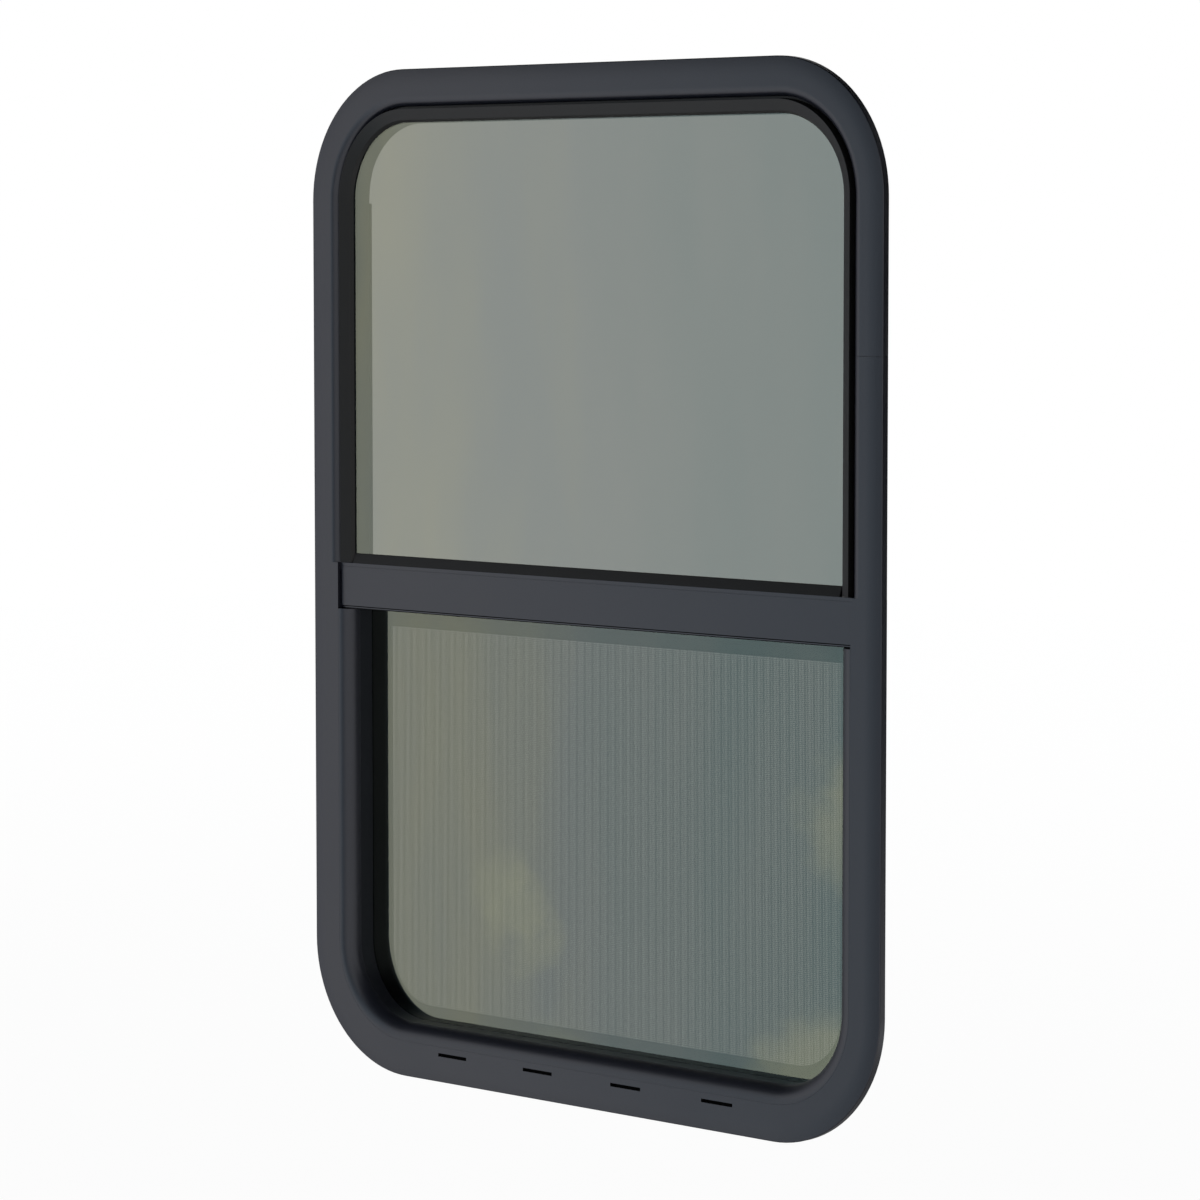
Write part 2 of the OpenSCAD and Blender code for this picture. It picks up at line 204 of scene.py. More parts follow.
# painted shade: a near-black put inside slots, chambers and grooves, where shade falls; the powder hardly
# reaches in there, but bare metal would look lighter
painted_shade_black = grained("painted_shade_chamber_black", "#050505", "#080808", 0.9, 0.5, 0.01,
                        **{"Specular IOR Level": 0.1})
screw_steel = grained("blackened_steel", "#1c1c1d", "#242425", 0.38, 0.6, 0.01)
print("Made", bead_rubber.name, seal_foam.name, moulded_plastic.name, brush_pile.name)

# %% [markdown]
# ## Tinted glass
# The panes are 3.2 mm toughened glass, tinted dark in the melt and with a hard reflecting
# coat, as caravan privacy glass is. Light that goes through loses most of itself and comes
# out grey with a little green. Two faces mirror the studio. The tint is the base colour of a
# transmitting shader: what is written there is what comes through the whole pane.

# %% Glass
GLASS_TINT = "#70716c"
glass, glass_tree, glass_shader, glass_place = start_material(
    "tinted_toughened_glass",
    **{"Transmission Weight": 1.0, "Roughness": 0.0, "IOR": 1.8, "Base Color": linear(GLASS_TINT),
       "Specular Tint": (0.85, 1.0, 0.88, 1.0)},
)
# rollers leave a faint wave, about 60 mm long, that bends what the pane mirrors
roller_wave = add(glass_tree, "ShaderNodeTexNoise",
                  {"Vector": glass_place, "Scale": 1 / 0.06, "Detail": 0.0})
wave_bump = add(glass_tree, "ShaderNodeBump",
                {"Height": roller_wave.outputs["Fac"], "Strength": 0.04, "Distance": 0.001})
glass_tree.links.new(wave_bump.outputs["Normal"], glass_shader.inputs["Normal"])
print("Glass lets through", round(linear(GLASS_TINT)[1], 3), "of green light")

# %% [markdown]
# ## Woven insect mesh
# The screen's mesh is glass yarn dipped in vinyl, charcoal grey and slightly shiny. The
# weave itself is real geometry further on, so this material is only the yarn.

# %% Mesh yarn
mesh_yarn = grained("vinyl_coated_glass_yarn", "#2a2b2b", "#303131", 0.45, 0.25, 0.01)
print("Made", mesh_yarn.name)

# %% [markdown]
# ## Sizes of the sections
# The frame is one extrusion, bent round a rounded rectangle. Its section is drawn in
# millimetres as [inset, depth]: inset from the outer edge of the flange, depth from its front
# face. These sizes repeat the ones in the CAD source, so the pieces here fit its nodes.

# %% Sizes
WINDOW_W, WINDOW_H, CORNER_R, FLANGE_D = 584.0, 787.0, 101.0, 7.0
MID_Z = WINDOW_H / 2 - 1.0
HALF_W, HALF_H = WINDOW_W / 2, WINDOW_H / 2
SKIN, WEB = 1.6, 1.4
CHAMBER_IN, BODY_IN, STEP_IN, SIGHT_IN = 18.6, 22.0, 25.4, 41.3
WEB_D, LEG_END, STEP_D, FRAME_D = 11.2, 24.4, 33.0, 37.2
EDGE_IN, EASE_R, EASE_DROP = 28.4, 8.5, 5.0
LOWER_IN, NOSE_R = 28.0, 13.0
CROWN_W, CROWN_R, EDGE_ROUND = 15.0, 90.0, 0.8
RAIL_TOP, RAIL_H = 7.9, 36.0
SCREEN_SIDE_IN, SCREEN_FOOT_IN, SCREEN_HEAD_DROP, MESH_REBATE = 59.1, 52.6, 42.3, 6.9

# %% [markdown]
# Real extrusions have no knife edges: the die has a small radius in every corner, and the
# thin highlight along it is what makes metal look solid. The corners could be rounded with a
# Bevel modifier after the sweep, but it is cleaner to round the drawn section, because then
# every edge along the frame is rounded alike.

# %% Drawing a section
def arc(cx, cy, radius, start, end, steps):
    """Points on an arc, in degrees, where 0 points along +inset and 90 along +depth."""
    turns = [math.radians(start + (end - start) * k / steps) for k in range(steps + 1)]
    return [(cx + radius * math.cos(t), cy + radius * math.sin(t)) for t in turns]


def softened(points, radius=0.25, steps=3):
    """The same outline with its sharp corners rounded."""
    done = []
    for k, here in enumerate(points):
        here = Vector(here)
        back, ahead = Vector(points[k - 1]) - here, Vector(points[(k + 1) % len(points)]) - here
        turn = math.pi - back.angle(ahead)
        if turn < math.radians(25):
            done.append(here)
            continue
        cut = min(radius * math.tan(turn / 2), 0.45 * back.length, 0.45 * ahead.length)
        one, two = here + back.normalized() * cut, here + ahead.normalized() * cut
        for s in range(steps + 1):
            t = s / steps
            done.append(one * (1 - t) ** 2 + here * 2 * t * (1 - t) + two * t**2)
    return done


def crown_angle(inset, radius=CROWN_R):
    """Where the crown's arc crosses an inset, in degrees."""
    return math.degrees(math.acos((inset - CROWN_W) / radius))


EDGE_TOP = CROWN_R - math.sqrt(CROWN_R**2 - (CROWN_W - EDGE_ROUND) ** 2)
crown = (
    arc(EDGE_ROUND, EDGE_TOP + EDGE_ROUND, EDGE_ROUND, 180, 270, 6)
    + arc(CROWN_W, CROWN_R, CROWN_R, -crown_angle(EDGE_ROUND) + 0.2, -90, 10)
)
LIP_IN, SEAL_IN = 2.0, 3.0
under_crown = arc(CROWN_W, CROWN_R, CROWN_R - SKIN, -90, -crown_angle(LIP_IN, CROWN_R - SKIN), 6)
body = [
    (SIGHT_IN, WEB_D), (SIGHT_IN, LEG_END), (SIGHT_IN - WEB, LEG_END),
    (SIGHT_IN - WEB, WEB_D + WEB), (BODY_IN + WEB, WEB_D + WEB), (BODY_IN + WEB, STEP_D - WEB),
    (STEP_IN + WEB, STEP_D - WEB), (STEP_IN + WEB, FRAME_D - WEB), (EDGE_IN + 0.6, FRAME_D - WEB),
    (EDGE_IN + 0.6, FRAME_D), (STEP_IN, FRAME_D), (STEP_IN, STEP_D), (BODY_IN, STEP_D),
    (BODY_IN, WEB_D + WEB), (CHAMBER_IN, WEB_D + WEB), (CHAMBER_IN, SKIN), *under_crown,
    (LIP_IN, FLANGE_D), (0.0, FLANGE_D),
]
ease_cx = EDGE_IN - math.sqrt(EASE_R**2 - (EASE_R - EASE_DROP) ** 2)
ease_end = -math.degrees(math.asin((EASE_R - EASE_DROP) / EASE_R))
eased = arc(ease_cx, EASE_R, EASE_R, -90, ease_end, 12)
upper_section = softened(crown + eased + [(EDGE_IN, WEB_D)] + body)
lower_section = softened(crown + [(LOWER_IN, 0.0), (LOWER_IN, WEB_D)] + body, 0.08)
drain_chamber = [(CHAMBER_IN + WEB, SKIN), (LOWER_IN - SKIN, SKIN), (LOWER_IN - SKIN, WEB_D),
                 (CHAMBER_IN + WEB, WEB_D)]
print("Upper section has", len(upper_section), "points, lower", len(lower_section))

# %% [markdown]
# ## Sweeping a section round the window
# A section could be swept by hand in a loop, but Geometry Nodes do it in three steps: the
# path becomes a curve, the drawn section becomes a curve, and Curve to Mesh runs one along
# the other. The path lies flat while the tree works, so that the section stays upright, and
# the finished piece is stood up afterwards. The tree ends in Realize Instances and Set
# Material, so that what leaves it is plain mesh with its material.

# %% The sweep tree
def start_tree(name, inputs):
    """An empty geometry tree with named inputs, each given as name, kind and value."""
    tree = bpy.data.node_groups.new(name, "GeometryNodeTree")
    tree.interface.new_socket("Geometry", in_out="INPUT", socket_type="NodeSocketGeometry")
    tree.interface.new_socket("Geometry", in_out="OUTPUT", socket_type="NodeSocketGeometry")
    for label, kind, value in inputs:
        socket = tree.interface.new_socket(label, in_out="INPUT", socket_type="NodeSocket" + kind)
        if value is not None:
            socket.default_value = value
    return tree, add(tree, "NodeGroupInput").outputs


def end_tree(tree, geometry, material):
    """Realizes what the tree made and gives it its material."""
    plain = add(tree, "GeometryNodeRealizeInstances", {"Geometry": geometry})
    painted = add(tree, "GeometryNodeSetMaterial",
                  {"Geometry": plain.outputs["Geometry"], "Material": material})
    add(tree, "NodeGroupOutput", {"Geometry": painted.outputs["Geometry"]})


sweep_tree, given = start_tree("Sweep round the window", [
    ("Section", "Object", None), ("Finish", "Material", None)])
path_curve = add(sweep_tree, "GeometryNodeMeshToCurve", {"Mesh": given["Geometry"]})
upright = add(sweep_tree, "GeometryNodeSetCurveNormal",
              {"Curve": path_curve.outputs["Curve"]}, mode="Z_UP")
drawn = add(sweep_tree, "GeometryNodeObjectInfo", {"Object": given["Section"]})
section_curve = add(sweep_tree, "GeometryNodeMeshToCurve", {"Mesh": drawn.outputs["Geometry"]})
swept = add(sweep_tree, "GeometryNodeCurveToMesh",
            {"Curve": upright.outputs["Curve"], "Profile Curve": section_curve.outputs["Curve"],
             "Fill Caps": True})
end_tree(sweep_tree, swept.outputs["Mesh"], given["Finish"])
print("Sweep tree has", len(sweep_tree.nodes), "nodes")

# %% [markdown]
# A tree's inputs are set by the identifier of each socket, because names need not be unique.
# The result is taken as a plain mesh and the modifier goes, so nothing live is left on the
# finished piece.

# %% Running a tree
def make(name, mesh):
    obj = bpy.data.objects.new(name, mesh)
    scene.collection.objects.link(obj)
    return obj


def run_tree(name, base, tree, values):
    """A new piece: what the tree makes of a base mesh."""
    obj = make(name, base)
    modifier = obj.modifiers.new("tree", "NODES")
    modifier.node_group = tree
    for item in tree.interface.items_tree:
        if item.in_out == "INPUT" and item.name in values:
            modifier[item.identifier] = values[item.name]
    obj.update_tag()
    graph = bpy.context.evaluated_depsgraph_get()
    graph.update()
    made = bpy.data.meshes.new_from_object(obj.evaluated_get(graph), depsgraph=graph)
    obj.modifiers.remove(modifier)
    obj.data = made
    return obj


def wire(points, closed):
    """A mesh of edges only, from one point to the next."""
    mesh = bpy.data.meshes.new("wire")
    count = len(points)
    edges = [(k, (k + 1) % count) for k in range(count if closed else count - 1)]
    mesh.from_pydata([(*(c * MM for c in p), *([0.0] * (3 - len(p)))) for p in points], edges, [])
    return mesh


def tidy(obj, sharp=40.0):
    """Merges doubles, points faces outwards, and smooths all but the sharp edges."""
    bm = bmesh.new()
    bm.from_mesh(obj.data)
    bmesh.ops.remove_doubles(bm, verts=bm.verts, dist=2e-6)
    bmesh.ops.recalc_face_normals(bm, faces=bm.faces)
    bm.to_mesh(obj.data)
    bm.free()
    obj.data.shade_smooth()
    obj.data.set_sharp_from_angle(angle=math.radians(sharp))
    weighted = obj.modifiers.new("even normals", "WEIGHTED_NORMAL")
    weighted.keep_sharp = True
    return obj


print("Ready to run trees")

# %% [markdown]
# The path is the outer outline of the flange. It goes round counter-clockwise, seen from
# outside, so that the inset points to the middle. The frame changes its section at the
# meeting rail, so the path comes in two parts: an arch over the top and a trough below.

# %% The path and the sweep
CORNER_STEPS = 24


def corner(sx, sy, start):
    cx, cy = sx * (HALF_W - CORNER_R), sy * (HALF_H - CORNER_R)
    return arc(cx, cy, CORNER_R, start, start + 90, CORNER_STEPS)


def arch_path(low):
    return [(HALF_W, low), *corner(1, 1, 0), *corner(-1, 1, 90), (-HALF_W, low)]


def trough_path(high):
    return [(-HALF_W, high), *corner(-1, -1, 180), *corner(1, -1, 270), (HALF_W, high)]


def ring_path():
    return arch_path(0)[1:-1] + trough_path(0)[1:-1]


STAND_UP = Matrix.Translation((0, 0, MID_Z * MM)) @ Matrix.Rotation(math.radians(90), 4, "X")


def sweep(name, path, section, finish, closed=False):
    """Sweeps a section of [inset, depth] along a path and stands the piece up."""
    drawing = make("drawing", wire([(-u, v - FLANGE_D) for u, v in section], True))
    obj = run_tree(name, wire(path, closed), sweep_tree, {"Section": drawing, "Finish": finish})
    bpy.data.objects.remove(drawing)
    obj.data.transform(STAND_UP)
    return tidy(obj)


frame_arch = sweep("frame_arch", arch_path(RAIL_TOP), upper_section, frame_paint)
frame_trough = sweep("frame_trough", trough_path(RAIL_TOP), lower_section, frame_paint)
for obj in (frame_arch, frame_trough):
    low, high = (Vector([f(v.co[i] for v in obj.data.vertices) for i in range(3)]) for f in (min, max))
    print(obj.name, len(obj.data.polygons), "faces, box in mm",
          [round(c / MM, 1) for c in low], [round(c / MM, 1) for c in high])

# %% [markdown]
# ## Weep slots, drain chamber and seam
# Water that gets past the sliding pane runs into a chamber in the sill and leaves by four
# slots in the flange. The bent extrusion meets itself on the right jamb in a butt seam. Each
# is cut with a Boolean on exact arithmetic, as a mill would cut it, and the cut faces take
# the tool's own material. The chamber and the slots give theirs a near-black that is painted
# shade, so that a slot looks dark and empty; the seam's tool gives the frame's paint.

# %% Cutting the slots
SLOT_X, SLOT_IN, SLOT_W, SLOT_H = (-137.6, -45.8, 45.8, 137.6), 21.8, 30.7, 2.7
SEAM_Z, SEAM_GAP = 179.7, 0.4
FRONT = -FLANGE_D


def blocks(name, boxes, finish):
    """Boxes in row millimetres, each as x, x, y, y, z, z, joined as one tool to cut with."""
    bm = bmesh.new()
    for x0, x1, y0, y1, z0, z1 in boxes:
        corners = [bm.verts.new((x * MM, y * MM, z * MM))
                   for x in (x0, x1) for y in (y0, y1) for z in (z0, z1)]
        for side in ((0, 1, 3, 2), (4, 6, 7, 5), (0, 4, 5, 1), (2, 3, 7, 6), (0, 2, 6, 4), (1, 5, 7, 3)):
            bm.faces.new([corners[k] for k in side])
    tool = make(name, bpy.data.meshes.new(name))
    bm.to_mesh(tool.data)
    bm.free()
    tool.data.materials.append(finish)
    return tool


def cut(obj, tool):
    """Takes the tool away from the piece, for good, and keeps the tool's material on the cut."""
    boolean = obj.modifiers.new("cut", "BOOLEAN")
    boolean.object, boolean.operation, boolean.solver = tool, "DIFFERENCE", "EXACT"
    boolean.use_self, boolean.material_mode = True, "TRANSFER"
    graph = bpy.context.evaluated_depsgraph_get()
    graph.update()
    made = bpy.data.meshes.new_from_object(obj.evaluated_get(graph), depsgraph=graph)
    obj.modifiers.clear()
    obj.data = made
    bpy.data.objects.remove(tool)
    return tidy(obj)


# the chamber's cut walls take the tool's near-black, which is painted shade
chamber = sweep("chamber", trough_path(RAIL_TOP - 6), drain_chamber, painted_shade_black)
chamber.modifiers.clear()
frame_trough = cut(frame_trough, chamber)

slot_z = MID_Z - HALF_H + SLOT_IN
# the slots' cut faces take a near-black that is painted shade
slots = blocks("slots", [(x - SLOT_W / 2, x + SLOT_W / 2, FRONT - 2, FRONT + 4, slot_z - SLOT_H / 2,
                          slot_z + SLOT_H / 2) for x in SLOT_X], painted_shade_black)
frame_trough = cut(frame_trough, slots)

# the seam goes across the face, over the crowned edge and down the side
seam_low, seam_high = MID_Z + SEAM_Z, MID_Z + SEAM_Z + SEAM_GAP
seam = blocks("seam", [
    (HALF_W - 29, HALF_W - 6, FRONT - 2, FRONT + 1.1, seam_low, seam_high),
    (HALF_W - 6.01, HALF_W + 1, FRONT - 2, FRONT + 1.7, seam_low, seam_high),
    (HALF_W - 0.6, HALF_W + 1, FRONT + 1.69, -0.6, seam_low, seam_high)], frame_paint)
frame_arch = cut(frame_arch, seam)
print("Trough now has", len(frame_trough.data.polygons), "faces, arch", len(frame_arch.data.polygons))

# %% [markdown]
# ## The other swept pieces
# The rounded reveal round the lower pane, the rubber bead of the upper one, the foam ring
# behind the flange and the tape under the fixed pane follow the same path with other
# sections, so they come out of the same tree.

# %% Reveal, bead, seal and tape
NOSE_IN, REVEAL_IN = LOWER_IN + 0.3, LOWER_IN + 0.06


def nose_points(radius, steps):
    """The rounded inner edge, as an arc that starts at the face and ends at the web."""
    end = -math.degrees(math.asin((NOSE_R - WEB_D) / radius))
    start = -90.0 if radius == NOSE_R else -math.degrees(math.acos(SKIN / radius))
    return arc(NOSE_IN, NOSE_R, radius, start, end, steps)


reveal_section = softened(
    [(REVEAL_IN, 0.0)] + nose_points(NOSE_R, 14) + nose_points(NOSE_R - SKIN, 10)[::-1]
    + [(NOSE_IN + SKIN, WEB_D), (NOSE_IN, WEB_D), (REVEAL_IN, 0.6)], 0.06)
lower_reveal = sweep("reveal", trough_path(RAIL_TOP - RAIL_H - 0.5), reveal_section, frame_paint)

CREST_IN, GLASS_IN, GLASS_D, PANE_T = EDGE_IN + 2.1, EDGE_IN + 4.7, 7.2, 3.2
bead_section = softened([
    (CREST_IN, 0.15), (SIGHT_IN - 2.3, 4.1), (SIGHT_IN, GLASS_D), (GLASS_IN - 0.2, GLASS_D),
    (GLASS_IN - 0.2, WEB_D), (EDGE_IN, WEB_D), (EDGE_IN, 8.0), (CREST_IN, 8.0)], 0.45, 4)
bead = sweep("upper_rubber_bead", arch_path(RAIL_TOP + 0.4), bead_section, bead_rubber)

seal_section = softened(
    [(CHAMBER_IN - 2.5, SKIN), (CHAMBER_IN - 2.5, FLANGE_D), (SEAL_IN, FLANGE_D)]
    + arc(CROWN_W, CROWN_R, CROWN_R - SKIN, -crown_angle(SEAL_IN, CROWN_R - SKIN), -90, 6), 0.5)
seal = sweep("foam_wall_seal", ring_path(), seal_section, seal_foam, closed=True)
TAPE_D = GLASS_D + PANE_T
tape_section = [(GLASS_IN + 1, TAPE_D), (SIGHT_IN - 0.6, TAPE_D), (SIGHT_IN - 0.6, WEB_D),
                (GLASS_IN + 1, WEB_D)]
tape = sweep("foam_bedding_tape", arch_path(RAIL_TOP + 1), tape_section, seal_foam)
SWEPT = (
    (frame_arch, "outer_frame", "frame_black"), (frame_trough, "outer_frame", "frame_black"),
    (lower_reveal, "lower_reveal", "frame_black"), (bead, "upper_bead", "bead_rubber"),
    (seal, "wall_seal", "foam"), (tape, "bedding_tape", "foam"),
)
for piece, node, slot in SWEPT:
    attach(piece, "root")
    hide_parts(node)
    print(piece.name, "stands for", node, "with", len(piece.data.polygons), "faces")

# %% [markdown]
# ## Straight pieces with softened edges
# The rail, the latches and the tracks are right in the CAD, but their edges are knife sharp,
# and a sharp edge catches no light. Each gets a merged copy: its loose triangles are joined,
# flat areas become single faces, and a narrow Bevel rounds the real edges. Weighted normals
# then let the large faces decide the shading, or a flat face would look dented at its rim.

# %% Softened copies of CAD nodes
def round_edges(obj, width_mm):
    bevel = obj.modifiers.new("soft edges", "BEVEL")
    bevel.width, bevel.segments = width_mm * MM, 2
    bevel.limit_method, bevel.angle_limit = "ANGLE", math.radians(40)
    even = obj.modifiers.new("even normals", "WEIGHTED_NORMAL")
    even.weight = 100


def soft_copy(node, finish, width_mm):
    """A merged copy of a CAD node that stands for it, with edges rounded where a width is given."""
    bm = bmesh.new()
    bm.from_mesh(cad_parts[node].data)
    bmesh.ops.remove_doubles(bm, verts=bm.verts, dist=1e-6)
    bmesh.ops.dissolve_limit(bm, angle_limit=math.radians(0.5), verts=bm.verts, edges=bm.edges)
    obj = make(node + "_softened", bpy.data.meshes.new(node))
    bm.to_mesh(obj.data)
    bm.free()
    obj.data.materials.append(finish)
    obj.data.shade_smooth()
    if width_mm:
        round_edges(obj, width_mm)
    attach(obj, "root")
    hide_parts(node)
    return obj


SOFT = [
    ("meeting_rail", frame_paint, "frame_black", None), ("sill_bead", bead_rubber, "bead_rubber", 0.3),
    ("sash_top_rail", frame_paint, "frame_black", 0.25), ("sash_sill_seal", bead_rubber, "bead_rubber", 0.2),
    ("screen_frame", screen_paint, "screen_black", 0.4), ("screen_spline", bead_rubber, "bead_rubber", 0.3),
]
for side in ("left", "right"):
    SOFT += [
        (f"rail_end_{side}", moulded_plastic, "black_plastic", 0.3),
        (f"sash_latch_{side}", moulded_plastic, "black_plastic", 0.35),
        (f"sash_track_{side}", moulded_plastic, "black_plastic", 0.2),
        (f"sash_stop_{side}", bead_rubber, "bead_rubber", 0.4),
        (f"screen_track_{side}", moulded_plastic, "black_plastic", 0.15),
        (f"screen_tab_{side}", moulded_plastic, "black_plastic", 0.2),
    ]
softened_copies = {node: soft_copy(node, finish, width) for node, finish, slot, width in SOFT}
print(len(softened_copies), "softened copies")

# %% [markdown]
# ## The foot of the meeting rail
# Two thin black lines run along the rail's lower edge. The foot is set back from the face,
# and a groove above it and a recess below it leave a narrow bead between them. Their cut faces
# are a near-black that is painted shade, deepening the real shade of the groove and recess.
# They are cut before the edges are rounded, because a bevel could go wrong on edges that a cut
# runs into.

# %% Shadow lines in the rail's foot
FOOT_RECESS, FOOT_GROOVE, GROOVE_D = (-0.5, 0.65), (1.5, 2.28), 0.9
rail = softened_copies["meeting_rail"]
rail_low, rail_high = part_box("meeting_rail")
rail_foot = MID_Z + RAIL_TOP - RAIL_H
lip_front = min(v.co.y for v in rail.data.vertices if v.co.z < (rail_foot + 1) * MM) / MM
# the cut faces of the groove and the recess take a near-black, painted shade
groove = blocks("groove", [
    (rail_low.x / MM - 1, rail_high.x / MM + 1, lip_front - 0.5, lip_front + GROOVE_D,
     rail_foot + low, rail_foot + high) for low, high in (FOOT_RECESS, FOOT_GROOVE)], painted_shade_black)
rail = cut(rail, groove)
rail.modifiers.clear()
round_edges(rail, 0.2)
print("The rail's foot is set back to", round(lip_front, 2), "mm")

# %% [markdown]
# ## The panes
# The panes keep their CAD solids. A solid pane, not a sheet, is what glass needs: light
# bends at its front face and bends back at the other, and both faces mirror.

# %% Glass panes
for node in ("upper_glass", "lower_glass"):
    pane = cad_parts[node]
    pane.data.materials.clear()
    pane.data.materials.append(glass)

# %% [markdown]
# ## The insect mesh
# Real yarn is 0.28 mm thick, 18 to the inch. From three metres it can't be told apart, but
# it still shades the pane and gives it a faint ribbed shimmer, and a flat grey film wouldn't.
# So every yarn is there, as a thin four-sided bar: a tree lays a row of points, gives each
# its own length so that the yarns end on the rounded corners, and puts a bar on each. The
# yarn is drawn 0.39 mm thick, so that it shades as much as the woven one with its knots.
# The photo shows upright ribs about 8 mm apart in the mesh, which may be the beat between the
# weave and the picture. The upright yarns swell and thin in that rhythm to give the same look.

# %% Mesh tree
MESH_HALF_W = HALF_W - SCREEN_SIDE_IN + MESH_REBATE
MESH_LOW, MESH_HIGH = MID_Z - HALF_H + SCREEN_FOOT_IN - MESH_REBATE, MID_Z - SCREEN_HEAD_DROP + MESH_REBATE
MESH_CORNER = CORNER_R - SCREEN_SIDE_IN + MESH_REBATE
MESH_Y, MESH_PITCH, YARN, RIB_SHARE = 25.5, 1.41, 0.39, 0.36

mesh_tree, given = start_tree("Insect mesh", [
    ("Half width", "Float", 0.24), ("Low", "Float", 0.04), ("High", "Float", 0.36),
    ("Corner", "Float", 0.05), ("Depth", "Float", 0.025), ("Pitch", "Float", 0.0014),
    ("Yarn", "Float", 0.0004), ("Rib share", "Float", 0.0), ("Yarns per rib", "Float", 5.8),
    ("Upright", "Bool", True), ("Finish", "Material", None)])


def math_node(operation, *values):
    """Arithmetic in the mesh tree."""
    return add(mesh_tree, "ShaderNodeMath", dict(enumerate(values)), operation=operation).outputs[0]


def choose(upright_value, level_value, kind="FLOAT"):
    node = add(mesh_tree, "GeometryNodeSwitch",
               {"Switch": given["Upright"], "False": level_value, "True": upright_value}, input_type=kind)
    return node.outputs["Output"]


width = math_node("MULTIPLY", given["Half width"], 2.0)
height = math_node("SUBTRACT", given["High"], given["Low"])
span = choose(width, height)
count = math_node("FLOOR", math_node("DIVIDE", span, given["Pitch"]))
first = choose(math_node("MULTIPLY", given["Half width"], -1.0), given["Low"])
points = add(mesh_tree, "GeometryNodePoints", {"Count": count})
index = add(mesh_tree, "GeometryNodeInputIndex").outputs["Index"]
along = math_node("ADD", first, math_node("MULTIPLY", math_node("ADD", index, 0.5), given["Pitch"]))
# how far this yarn lies inside the rounded corner, and what the corner takes off it
flat_half = math_node("SUBTRACT", given["Half width"], given["Corner"])
past = choose(math_node("SUBTRACT", math_node("ABSOLUTE", along), flat_half),
              math_node("SUBTRACT", math_node("ADD", given["Low"], given["Corner"]), along))
past = math_node("MINIMUM", math_node("MAXIMUM", past, 0.0), given["Corner"])
chord = math_node("SQRT", math_node("SUBTRACT", math_node("POWER", given["Corner"], 2.0),
                                    math_node("POWER", past, 2.0)))
bite = math_node("SUBTRACT", given["Corner"], chord)
low_end = math_node("ADD", given["Low"], bite)
yarn_length = choose(math_node("SUBTRACT", given["High"], low_end),
                     math_node("SUBTRACT", width, math_node("MULTIPLY", bite, 2.0)))
middle = choose(math_node("MULTIPLY", math_node("ADD", given["High"], low_end), 0.5), along)
across = choose(along, 0.0)
place_node = add(mesh_tree, "ShaderNodeCombineXYZ", {"X": across, "Y": given["Depth"], "Z": middle})
rib_step = math_node("DIVIDE", 2 * math.pi, given["Yarns per rib"])
beat = math_node("SINE", math_node("MULTIPLY", index, rib_step))
swell = math_node("ADD", math_node("MULTIPLY", beat, given["Rib share"]), 1.0)
upright_size = add(mesh_tree, "ShaderNodeCombineXYZ",
                   {"X": math_node("MULTIPLY", given["Yarn"], swell), "Y": given["Yarn"], "Z": yarn_length})
level_size = add(mesh_tree, "ShaderNodeCombineXYZ",
                 {"X": yarn_length, "Y": given["Yarn"], "Z": given["Yarn"]})
placed = add(mesh_tree, "GeometryNodeSetPosition",
             {"Geometry": points.outputs[0], "Position": place_node.outputs[0]})
bar = add(mesh_tree, "GeometryNodeMeshCube", {"Size": (1.0, 1.0, 1.0)})
yarns = add(mesh_tree, "GeometryNodeInstanceOnPoints",
            {"Points": placed.outputs["Geometry"], "Instance": bar.outputs["Mesh"],
             "Scale": choose(upright_size.outputs[0], level_size.outputs[0], "VECTOR")})
end_tree(mesh_tree, yarns.outputs["Instances"], given["Finish"])

mesh_sizes = {"Half width": MESH_HALF_W * MM, "Low": MESH_LOW * MM, "High": MESH_HIGH * MM,
              "Corner": MESH_CORNER * MM, "Pitch": MESH_PITCH * MM, "Yarn": YARN * MM, "Finish": mesh_yarn}
upright_sizes = {**mesh_sizes, "Upright": True, "Rib share": RIB_SHARE, "Depth": (MESH_Y - YARN / 2) * MM}
level_sizes = {**mesh_sizes, "Upright": False, "Depth": (MESH_Y + YARN / 2) * MM}
insect_mesh = run_tree("insect_mesh_weave", bpy.data.meshes.new("empty"), mesh_tree, upright_sizes)
level_yarns = run_tree("level_yarns", bpy.data.meshes.new("empty"), mesh_tree, level_sizes)
weave = bmesh.new()
weave.from_mesh(insect_mesh.data)
weave.from_mesh(level_yarns.data)
weave.to_mesh(insect_mesh.data)
weave.free()
bpy.data.objects.remove(level_yarns)
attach(insect_mesh, "root")
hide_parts("screen_mesh")
print("Mesh has", len(insect_mesh.data.polygons) // 6, "yarns")

# %% [markdown]
# ## Brush pile
# A strip of stiff fibres closes the gap between the rail and the sliding pane. Each fibre is
# a thin cone. A tree scatters points on the strip's back with a fixed seed, leans each fibre
# a little at random, and stands a cone on every point.

# %% Pile tree
pile_tree, given = start_tree("Brush pile", [
    ("Length", "Float", 0.48), ("Height", "Float", 0.0054), ("Fibres", "Float", 400000.0),
    ("Fibre length", "Float", 0.002), ("Seed", "Int", 3), ("Finish", "Material", None)])
strip = add(pile_tree, "GeometryNodeMeshGrid",
            {"Size X": given["Length"], "Size Y": given["Height"], "Vertices X": 2, "Vertices Y": 2})
roots = add(pile_tree, "GeometryNodeDistributePointsOnFaces",
            {"Mesh": strip.outputs["Mesh"], "Density": given["Fibres"], "Seed": given["Seed"]})
lean = add(pile_tree, "FunctionNodeRandomValue",
           {"Min": (-0.22, -0.22, 0.0), "Max": (0.22, 0.22, 6.28), "Seed": given["Seed"]},
           data_type="FLOAT_VECTOR")
fibre = add(pile_tree, "GeometryNodeMeshCone",
            {"Vertices": 5, "Radius Top": 0.00003, "Radius Bottom": 0.00013, "Depth": given["Fibre length"]})
